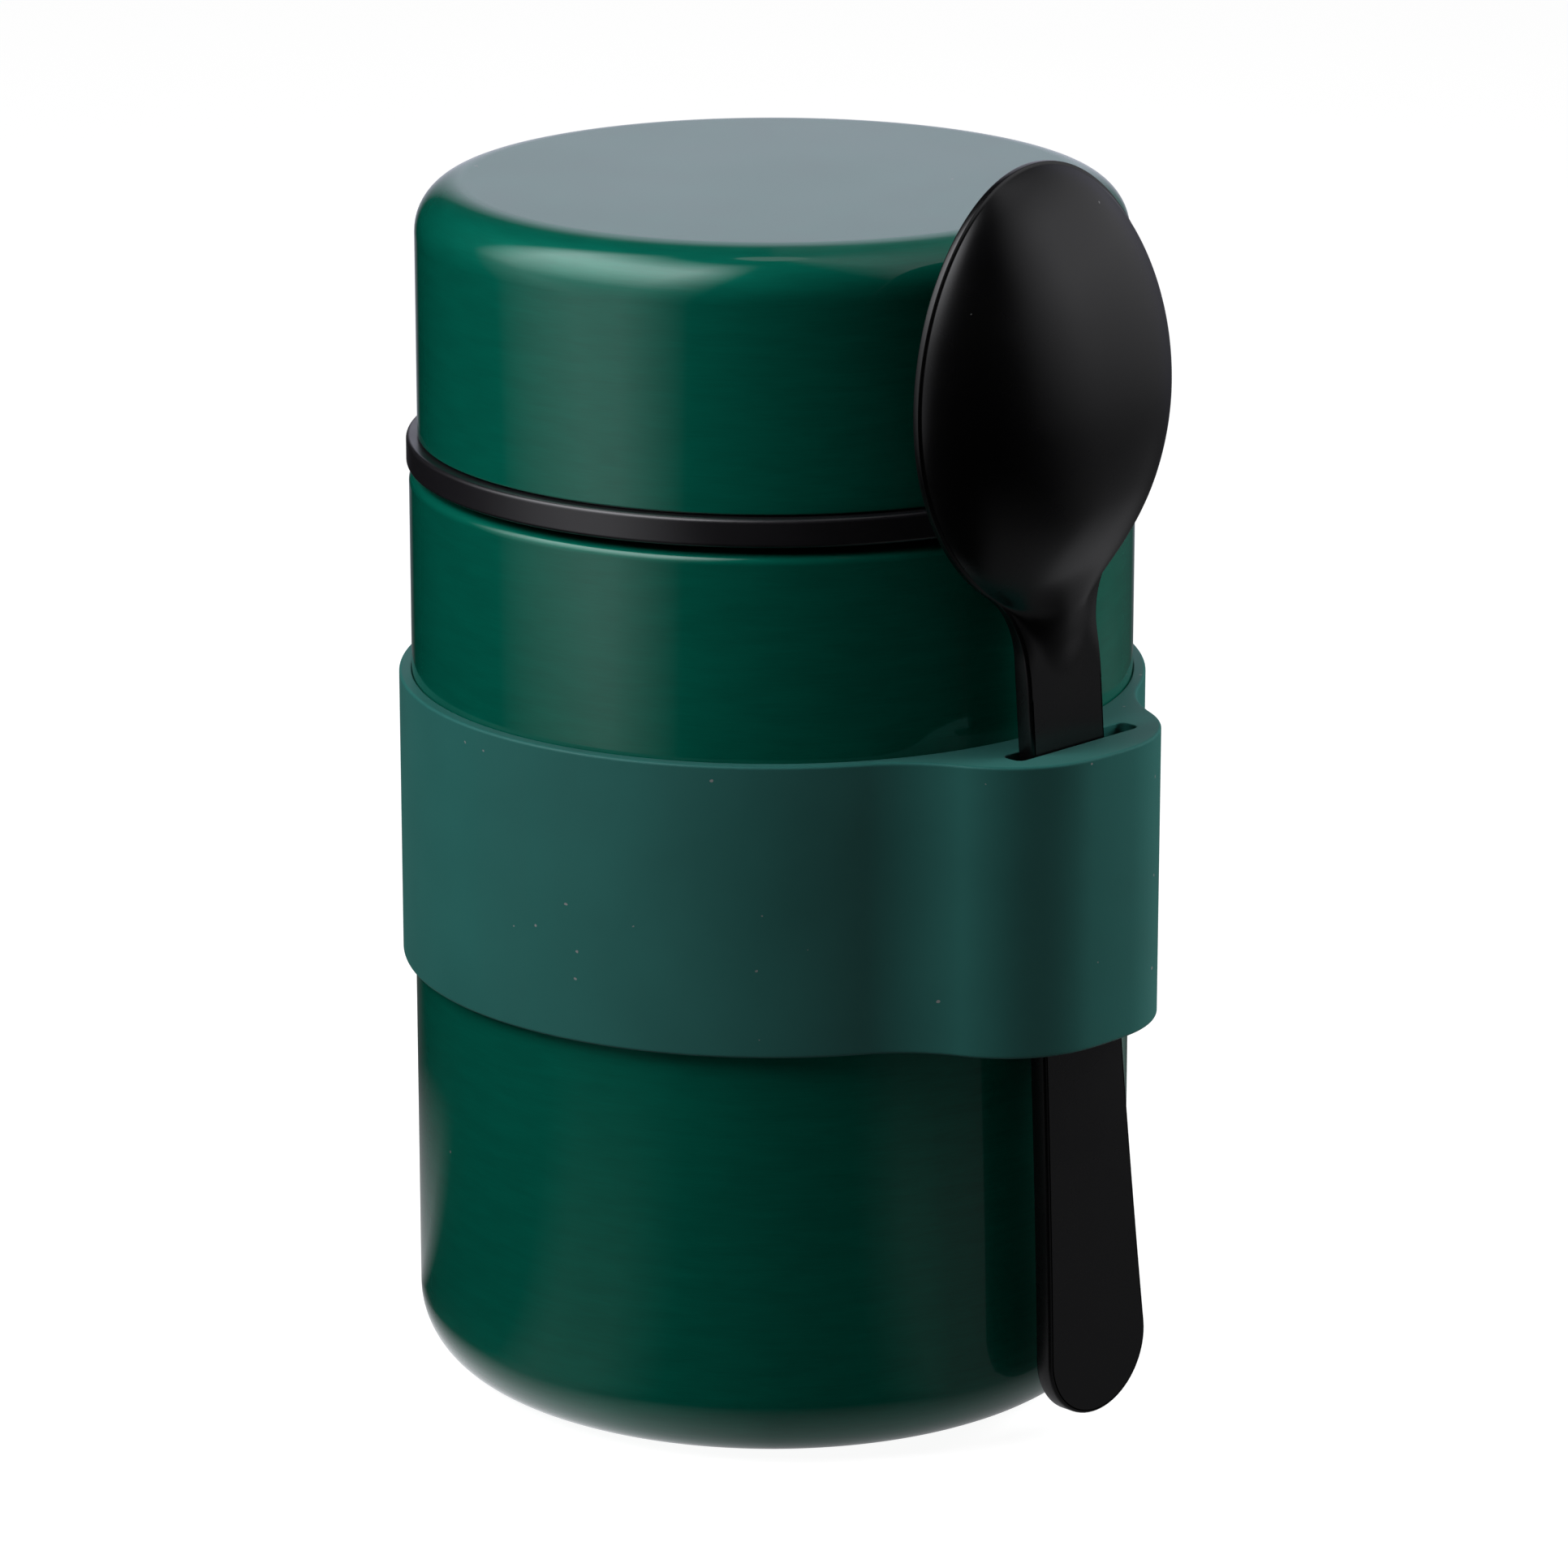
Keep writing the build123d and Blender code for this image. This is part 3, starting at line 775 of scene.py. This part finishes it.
def plastic(tree, colour, roughness, depth, level):
    """Moulded plastic with a fine grain, smudges and a few specks."""
    grain = effect(tree, "moulded_grain", Grain=3800.0, Smudge=70.0)
    base = mixed(grain["Height"], shade(colour, 0.85), shade(colour, 1.2))
    values = {
        "Base Color": dusted(base, 0.5, Cells=230.0, Size=0.045, Share=0.1),
        "Roughness": gloss(grain["Smudges"], roughness, 0.07),
        "Specular IOR Level": level,
        "Normal": bumped(grain["Height"], depth, 0.6),
    }
    principled(tree, values)


def metal(tree, colour, roughness, fineness, run):
    """Bare metal with brushed lines and slow changes of gloss."""
    lines = effect(tree, "brushed_lines", Fineness=fineness, Run=run)
    grain = effect(tree, "moulded_grain", Grain=3000.0, Smudge=50.0)
    streaky = gloss(lines["Streaks"], roughness, 0.06)
    values = {
        "Base Color": mixed(lines["Lines"], shade(colour, 0.92), shade(colour, 1.05)),
        "Metallic": 1.0,
        "Roughness": calculated("MULTIPLY_ADD", grain["Smudges"], 0.08, streaky),
        "Normal": bumped(lines["Lines"], 0.000002, 0.7),
    }
    principled(tree, values)


def powder(tree, colour, roughness, grain_size, depth):
    """Dull granular stuff: foam, pressed powder or fused glass."""
    grain = effect(tree, "moulded_grain", Grain=grain_size, Smudge=120.0)
    values = {
        "Base Color": mixed(grain["Height"], shade(colour, 0.75), shade(colour, 1.15)),
        "Roughness": gloss(grain["Smudges"], roughness, 0.1),
        "Normal": bumped(grain["Height"], depth, 0.8),
    }
    principled(tree, values)


# Each finish: its maker, its colour, and the values that the maker takes after it.
FINISHES = {
    "green_lacquer": (lacquer, "lacquer"),
    "pocket_rubber": (silicone, "band", 0.52, 0.5),
    "seal_rubber": (silicone, "seal", 0.45, 0.0),
    "spoon_moulding": (plastic, "spoon", 0.23, 0.000002, 0.5),
    "collar_plastic": (plastic, "ring", 0.30, 0.000004, 0.9),
    "satin_steel": (metal, "steel", 0.24, 8000.0, 40.0),
    "hidden_steel": (metal, "steel", 0.34, 2500.0, 90.0),
    "bright_foil": (metal, "copper", 0.22, 900.0, 500.0),
    "set_foam": (powder, "foam", 0.85, 1400.0, 0.0003),
    "fused_glass": (powder, "glass", 0.18, 900.0, 0.00003),
    "getter_powder": (powder, "alloy", 0.7, 5000.0, 0.00004),
}


def finish_named(name):
    """The finish of that name, made at its first use from the scene's colours."""
    made = bpy.data.materials.get(name)
    if made is None:
        maker, colour, *values = FINISHES[name]
        made, tree = new_material(name)
        maker(tree, getattr(bpy.context.scene.food_jar_colours, colour), *values)
    return made


def dress(piece, finish):
    """Gives a piece or a solid its finish in place of whatever it carried."""
    made = finish_named(finish)
    mesh = piece.data
    if not mesh.materials:
        mesh.materials.append(made)
    for place in range(len(mesh.materials)):
        mesh.materials[place] = made


def place(piece, body, slot, finish, *nodes):
    """Lets a piece ride a body, stand for its solids and take its finish. The slot is not used."""
    dress(piece, finish)
    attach(piece, body)
    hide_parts(*nodes)


# ---- pieces
# Roundings of sheet edges, as shares of the sheet's thickness.
CUT_EDGE = 0.3
ROLLED_EDGE = 0.45
# Threads: where the ridge starts, its turns, its half width, and its height on the cap.
NECK_THREAD = {"start": 0.1195, "turns": 1.55, "width": 0.0012}
CAP_THREAD = {"start": 0.1218, "turns": 1.35, "width": 0.0010, "stand": 0.0008}
# Finishes of the pieces inside the walls.
INNER_FINISHES = {
    "radiation_foil": "bright_foil",
    "vacuum_base": "hidden_steel",
    "seal_bead": "fused_glass",
    "getter": "getter_powder",
    "getter_clip": "hidden_steel",
    "plug_foam": "set_foam",
    "lid_foam": "set_foam",
}


class MakeBody(bpy.types.Operator):
    """Lacquered wall with its foot and shoulder, and the bare neck with its thread"""

    bl_idname = "food_jar.make_body"
    bl_label = "Body and neck"

    def execute(self, context):
        p = context.scene.food_jar_body
        cut = p.sheet * CUT_EDGE
        low = p.shoulder + p.corner * 1.5
        inner = p.neck - p.sheet
        inside, under = p.radius - p.sheet, p.shoulder - p.sheet
        wall = outline(
            (p.foot_opening, 0, cut),
            (p.radius, 0, p.foot_rounding),
            (p.radius, p.shoulder, p.corner),
            (p.neck, p.shoulder, p.corner),
            (p.neck, low, 0),
            (inner, low, 0),
            (inner, under, p.corner + p.sheet),
            (inside, under, p.corner - p.sheet),
            (inside, p.sheet, p.foot_rounding - p.sheet),
            (p.foot_opening, p.sheet, cut),
        )
        wall = turned("body_wall", wall, OUTER_COLUMNS)
        place(wall, "jar", "lacquer_green", "green_lacquer", "outer_shell")
        rim = p.rim - p.sheet
        bare = outline(
            (p.neck, low, 0),
            (p.neck, rim, p.sheet * 0.2),
            (inner, rim, 0),
            (inner, low, 0),
            step=0.00025,
        )

        def thread(angle, radius, height):
            ridge = helix_ridge(angle, height, pitch=p.pitch, stand=p.thread, **NECK_THREAD)
            return ridge * (radius > p.neck - p.sheet / 2)

        neck = turned("threaded_neck", bare, OUTER_COLUMNS, thread)
        place(neck, "jar", "steel", "satin_steel", "outer_shell")
        return {"FINISHED"}


class MakeVessel(bpy.types.Operator):
    """Food vessel with its turned lip, and the pressed cover under the foot"""

    bl_idname = "food_jar.make_vessel"
    bl_label = "Food vessel and base cover"

    def execute(self, context):
        p = context.scene.food_jar_body
        cut = p.sheet * CUT_EDGE
        bore = p.vessel - p.sheet
        lining = outline(
            (0, p.floor, 0),
            (p.vessel, p.floor, p.dish),
            (p.vessel, p.rim - p.sheet, 0),
            (p.neck, p.rim - p.sheet, cut),
            (p.neck, p.rim, p.sheet * 0.6),
            (bore, p.rim, p.sheet * 0.8),
            (bore, p.floor + p.sheet, p.dish - p.sheet),
            (0, p.floor + p.sheet, 0),
        )
        vessel = turned("food_vessel", lining, INNER_COLUMNS)
        place(vessel, "jar", "steel", "satin_steel", "inner_wall", "inner_base")
        bends = (p.sheet * 1.4, p.sheet * 0.9)
        cup = pressed_cup(p.cover, 0, p.cover_rise, p.sheet, *bends, cut)
        place(turned("pressed_cover", cup), "jar", "steel", "satin_steel", "base_cover")
        return {"FINISHED"}


class MakeLid(bpy.types.Operator):
    """Lacquered cap, dark ring with its threaded skirt, stopper and gasket"""

    bl_idname = "food_jar.make_lid"
    bl_label = "Lid"

    def execute(self, context):
        p = context.scene.food_jar_lid
        body = context.scene.food_jar_body
        gauge = body.sheet
        bends = (p.rounding, p.rounding - gauge)
        cap = pressed_cup(p.radius, p.top, p.skirt, gauge, *bends, gauge * ROLLED_EDGE)
        cap = turned("lid_cap", cap, OUTER_COLUMNS)
        place(cap, "lid", "lacquer_green", "green_lacquer", "lid_shell")
        ring_top = p.ring_bottom + p.ring_height
        disc_top = p.disc + p.disc_gauge
        screw = outline(
            (0, disc_top, 0),
            (p.bore + p.wall, disc_top, p.ring_corner),
            (p.bore + p.wall, ring_top, 0),
            (p.ring, ring_top, p.ring_corner),
            (p.ring, p.ring_bottom, p.ring_corner),
            (p.bore, p.ring_bottom, p.ring_corner),
            (p.bore, p.disc, p.ring_corner),
            (0, p.disc, 0),
            step=0.0004,
        )

        def thread(angle, radius, height):
            ridge = helix_ridge(angle, height, pitch=body.pitch, **CAP_THREAD)
            on_bore = (np.abs(radius - p.bore) < 1e-6) & (height < p.disc - 0.001)
            return -ridge * on_bore

        screw = turned("screw_cap", screw, INNER_COLUMNS, thread)
        place(screw, "lid", "lid_plastic", "collar_plastic", "lid_core")
        seat = GASKET[1].x
        bottom = STOPPER[0].z
        plug = outline(
            (0, bottom, 0),
            (p.plug, bottom, 0.003),
            (p.plug, p.seal_top, 0),
            (seat, p.seal_top, 0.0003),
            (seat, p.disc, 0.0003),
            (p.plug - p.disc_gauge, p.disc, 0.0003),
            (p.plug - p.disc_gauge, bottom + p.disc_gauge, 0.001),
            (0, bottom + p.disc_gauge, 0),
        )
        place(turned("stopper", plug), "lid", "lid_plastic", "collar_plastic", "lid_plug")
        inner = GASKET[0].z
        start = p.plug + 0.0003
        seal = outline(
            (start, p.seal_top, 0.0002),
            (start, inner, 0.00025),
            (start + p.seal_lip, inner, 0.00025),
            (start + p.seal_lip, body.rim, 0.0003),
            (seat, body.rim, 0.0006),
            (seat, p.seal_top, 0.0004),
        )
        place(turned("gasket", seal), "lid_seal", "seal_silicone", "seal_rubber", "seal_ring")
        return {"FINISHED"}


class MakeBand(bpy.types.Operator):
    """Stretch band with the pocket blended into it and the slot for the handle"""

    bl_idname = "food_jar.make_band"
    bl_label = "Band with pocket"

    def execute(self, context):
        p = context.scene.food_jar_band
        columns = 200
        corner = 0.001
        far = p.slot_half - corner
        near = p.slot_gauge / 2 - corner
        middle = -p.slot_back - p.slot_gauge / 2
        corners = [(far, near), (-far, near), (-far, -near), (far, -near)]
        slot = joined(
            arc((x, middle + y), corner, i * TAU / 4, (i + 1) * TAU / 4, 8, inwards=True)
            for i, (x, y) in enumerate(corners)
        )
        bore = arc((0, 0), p.bore, 0, TAU * (1 - 1 / columns), columns, inwards=True)
        walls = [
            rounded_wall(*band_outline(p), p.bottom, p.top, p.edge),
            rounded_wall(*bore, p.bottom, p.top, p.edge * 0.5),
            rounded_wall(*slot, p.bottom, p.top, p.edge * 0.5),
        ]
        band = walls_with_caps("pocket_band", walls)
        place(band, "band", "band_silicone", "pocket_rubber", "spoon_band")
        return {"FINISHED"}


class MakeSpoon(bpy.types.Operator):
    """Spoon in one moulding, its hollow side towards the jar"""

    bl_idname = "food_jar.make_spoon"
    bl_label = "Spoon"

    def execute(self, context):
        points = spoon_points(context.scene.food_jar_spoon)
        piece = finished("moulded_spoon", grid_mesh("moulded_spoon", points))
        place(piece, "spoon", "spoon_plastic", "spoon_moulding", "spoon")
        return {"FINISHED"}


class DressInnerParts(bpy.types.Operator):
    """Finishes of the pieces inside the walls, which keep the shape of their solids"""

    bl_idname = "food_jar.dress_inner_parts"
    bl_label = "Inner parts"

    def execute(self, context):
        for node, finish in INNER_FINISHES.items():
            dress(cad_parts[node], finish)
        return {"FINISHED"}


class MakeStudio(bpy.types.Operator):
    """Pale floor, soft lights, and the camera"""

    bl_idname = "food_jar.make_studio"
    bl_label = "Floor, lights and camera"

    def execute(self, context):
        scene = context.scene
        scene.view_settings.view_transform = "Standard"
        white_world(scene)
        pale_floor()
        light_room()
        for lamp in LAMPS:
            soft_box(*lamp)
        camera = bpy.data.cameras.new("camera")
        camera.lens = LENS
        camera.sensor_width = FILM
        camera.clip_end = 50.0
        scene.camera = aimed("camera", camera, CAMERA_PLACE, CAMERA_WAY)
        return {"FINISHED"}


# ---- stage
# Camera, with its lens and film in millimetres. Turns are degrees to the right of it.
CAMERA_PLACE = Vector((-0.5995, -0.5953, 0.3244))
CAMERA_WAY = Vector((0.6816, 0.6745, -0.28357))
CAMERA_TURN = float(np.arctan2(CAMERA_PLACE.y, CAMERA_PLACE.x))
LENS = 161.03
FILM = 36.0
# Height of the jar's middle, which lamps face and rises are measured from.
MIDDLE = 0.08
# Lamps: name, turn, rise, distance, size, power.
LAMPS = (
    ("left_light", -66, 40, 0.58, 0.34, 3.7),
    ("right_light", 102, 24, 0.60, 0.30, 3.9),
    ("top_light", 180, 70, 1.2, 0.6, 2.5),
)
# Sheens of the floor: window of turns, reach over which each fades, its two strengths.
FLOOR_SHEENS = (
    ((-68, -56, -40, -24), (0.07, 0.2), (0.16, 0.0)),
    ((22, 36, 95, 130), (0.13, 0.24), (0.11, 0.0)),
    ((-165, -150, -117, -107), (0.05, 0.14), (0.42, 0.0)),
    ((80, 92, 125, 150), (0.1, 0.3), (0.38, 0.1)),
)


def seen_directly(tree):
    """1 for camera, glossy and transmission rays, 0 for diffuse and shadow rays."""
    path = put(tree, "ShaderNodeLightPath").outputs
    seen = calculated("MAXIMUM", path["Is Camera Ray"], path["Is Glossy Ray"])
    return calculated("MAXIMUM", seen, path["Is Transmission Ray"])


def white_world(scene):
    """World that looks white and lights the object only a little."""
    scene.world = bpy.data.worlds.new("studio")
    tree = cleared(scene.world)
    strength = spread(seen_directly(tree), 0, 1, 0.03, 1.0)
    values = {"Color": (1, 1, 1, 1), "Strength": strength}
    show(put(tree, "ShaderNodeBackground", values), "World")


def pale_floor():
    """White floor, which glows to the eye but still keeps the object's shadow."""
    half, low = 6.0, -5e-5
    corners = [(x * half, y * half, low) for x, y in ((-1, -1), (1, -1), (1, 1), (-1, 1))]
    mesh = bpy.data.meshes.new("floor")
    mesh.from_pydata(corners, [], [(0, 1, 2, 3)])
    made, tree = new_material("pale_floor")
    grain = effect(tree, "moulded_grain", Grain=700.0, Smudge=6.0)
    white = mixed(grain["Smudges"], (0.20, 0.20, 0.20, 1), (0.215, 0.215, 0.215, 1))
    matte = put(tree, "ShaderNodeBsdfDiffuse", {"Color": white})
    strength = spread(seen_directly(tree), 0, 1, 0.0, 0.94)
    glow = put(tree, "ShaderNodeEmission", {"Color": (1, 1, 1, 1), "Strength": strength})
    show(put(tree, "ShaderNodeAddShader", {0: matte.outputs[0], 1: glow.outputs[0]}))
    mesh.materials.append(made)
    return linked("floor", mesh)


def window(value, rise, risen, fall, fallen):
    """1 between risen and fall, 0 outside rise..fallen, with even slopes between them."""
    return times(spread(value, rise, risen), spread(value, fall, fallen, 1, 0))


def directions(tree):
    """Turn from the camera and rise over the jar's middle, in degrees, and three lengths.

    The lengths are metres: reach from the axis, and its parts sideways and away.
    """
    where = object_place(tree)
    split = put(tree, "ShaderNodeSeparateXYZ", {0: where}).outputs
    flat = moved("MULTIPLY", where, (1, 1, 0))
    reach = put(tree, "ShaderNodeVectorMath", {0: flat}, operation="LENGTH").outputs["Value"]
    above = calculated("SUBTRACT", split["Z"], MIDDLE)
    rise = calculated("DEGREES", calculated("ARCTAN2", above, reach))
    around = calculated("ARCTAN2", split["Y"], split["X"])
    around = calculated("WRAP", around, CAMERA_TURN + np.pi, CAMERA_TURN - np.pi)
    turn = calculated("SUBTRACT", around, CAMERA_TURN)
    sideways = times(reach, calculated("SINE", turn))
    away = times(reach, calculated("COSINE", turn))
    return calculated("DEGREES", turn), rise, reach, sideways, away


def left_card(turn, rise):
    """Tall soft box on the left: faint low down, bright high up, wider towards its top."""
    faint = spread(rise, -22, -10, 0, 0.72)
    bright = spread(rise, 16, 46, 0, 3.5)
    start = spread(rise, -14, 24, -90, -111)
    full = spread(rise, -14, 24, -52, -92)
    return times(
        calculated("ADD", faint, bright),
        spread(rise, 56, 76, 1, 0),
        spread(turn, start, full),
        spread(calculated("MULTIPLY_ADD", rise, -0.25, turn), -46, -24, 1, 0),
    )


def right_card(turn, rise):
    """Weaker card on the right, its near edge slanting, its far edge faded out."""
    return times(
        spread(rise, -11, 18, 0.12, 1.0),
        spread(rise, 35, 56, 1, 0.6),
        spread(calculated("MULTIPLY_ADD", rise, 0.45, turn), 52, 80),
        spread(turn, 75, 155, 1, 0.2),
    )


def back_card(rise, sideways, away):
    """White wall behind the jar, left of the middle, which the lid's top mirrors."""
    off_axis = calculated("MULTIPLY_ADD", away, 0.25, calculated("ABSOLUTE", sideways))
    return times(
        spread(off_axis, -0.04, 0.08, 0.61, 0),
        spread(away, -0.05, -0.10),
        spread(rise, 40, 55, 1, 0),
        spread(rise, -15, 5, 0.3, 1),
    )


def floor_light(turn, rise, reach):
    """Sheen of the floor: one close round the foot, and one in each window of turns."""
    low = spread(rise, -12, -8, 1, 0)
    left = spread(turn, -35, 0, 1, 0.4)
    all_round = calculated("MAXIMUM", left, spread(turn, 130, 175, 0.4, 1))
    sheens = [times(spread(reach, 0.045, 0.057, 0.85, 0), all_round, low)]
    for turns, reaches, strengths in FLOOR_SHEENS:
        fading = spread(reach, *reaches, *strengths)
        sheens.append(times(window(turn, *turns), fading, low))
    return sheens


def light_room():
    """Round room of light and dark cards, 0.5 m in radius, that only gloss can see."""
    profile = [(0.030, 0.0002), (0.15, 0.0002), (0.5, 0.0002), (0.5, 0.6), (0.05, 0.62)]
    room = turned("light_room", profile, 96, closed=False)
    made, tree = new_material("light_room")
    turn, rise, reach, sideways, away = directions(tree)
    total = left_card(turn, rise)
    others = [right_card(turn, rise), back_card(rise, sideways, away)]
    for term in others + floor_light(turn, rise, reach):
        total = calculated("MAXIMUM", total, term)
    tone = mixed(spread(away, -0.3, -0.4), (1, 1, 1.04, 1), (1, 1, 1.18, 1))
    show(put(tree, "ShaderNodeEmission", {"Color": tone, "Strength": total}))
    room.data.materials.append(made)
    for ray in ("camera", "diffuse", "shadow", "transmission"):
        setattr(room, "visible_" + ray, False)
    return room


def aimed(name, data, where, way):
    """Object that holds a lamp or a camera at a place and faces a way."""
    holder = linked(name, data)
    holder.location = where
    holder.rotation_euler = way.to_track_quat("-Z", "Y").to_euler()
    return holder


def soft_box(name, turn, rise, distance, size, power):
    """Square light turned from the camera by an angle, raised by another, facing the jar."""
    around, up = CAMERA_TURN + np.radians(turn), np.radians(rise)
    way = Vector((np.cos(around) * np.cos(up), np.sin(around) * np.cos(up), np.sin(up)))
    light = bpy.data.lights.new(name, "AREA")
    light.shape = "SQUARE"
    light.size = size
    light.energy = power
    aimed(name, light, way * distance + Vector((0, 0, MIDDLE)), -way).visible_glossy = False


# ---- panel and registration
class FoodJarPanel(bpy.types.Panel):
    """Sizes, colours and makers of the food jar"""

    bl_idname = "VIEW3D_PT_food_jar"
    bl_label = "Food jar"
    bl_space_type = "VIEW_3D"
    bl_region_type = "UI"
    bl_category = "Food jar"

    def draw(self, context):
        for maker in MAKER_OPERATORS:
            self.layout.operator(maker.bl_idname)
        for key, group in GROUPS.items():
            box = self.layout.box()
            box.label(text=(group.__doc__ or key).strip("."))
            for size in group.__annotations__:
                box.prop(getattr(context.scene, key), size)


MAKER_OPERATORS = (MakeBody, MakeVessel, MakeLid, MakeBand, MakeSpoon, DressInnerParts, MakeStudio)


def register():
    """Registers the classes and hangs the sizes on the scene."""
    for item in (*GROUPS.values(), *MAKER_OPERATORS, FoodJarPanel):
        bpy.utils.register_class(item)
    for key, group in GROUPS.items():
        setattr(bpy.types.Scene, key, bpy.props.PointerProperty(type=group))


def unregister():
    """Takes away what register put in place."""
    for key in GROUPS:
        delattr(bpy.types.Scene, key)
    for item in reversed((*GROUPS.values(), *MAKER_OPERATORS, FoodJarPanel)):
        bpy.utils.unregister_class(item)


def main():
    """Builds everything in order."""
    register()
    bpy.ops.food_jar.make_body()
    bpy.ops.food_jar.make_vessel()
    bpy.ops.food_jar.make_lid()
    bpy.ops.food_jar.make_band()
    bpy.ops.food_jar.make_spoon()
    bpy.ops.food_jar.dress_inner_parts()
    bpy.ops.food_jar.make_studio()


if __name__ == "__main__":
    main()
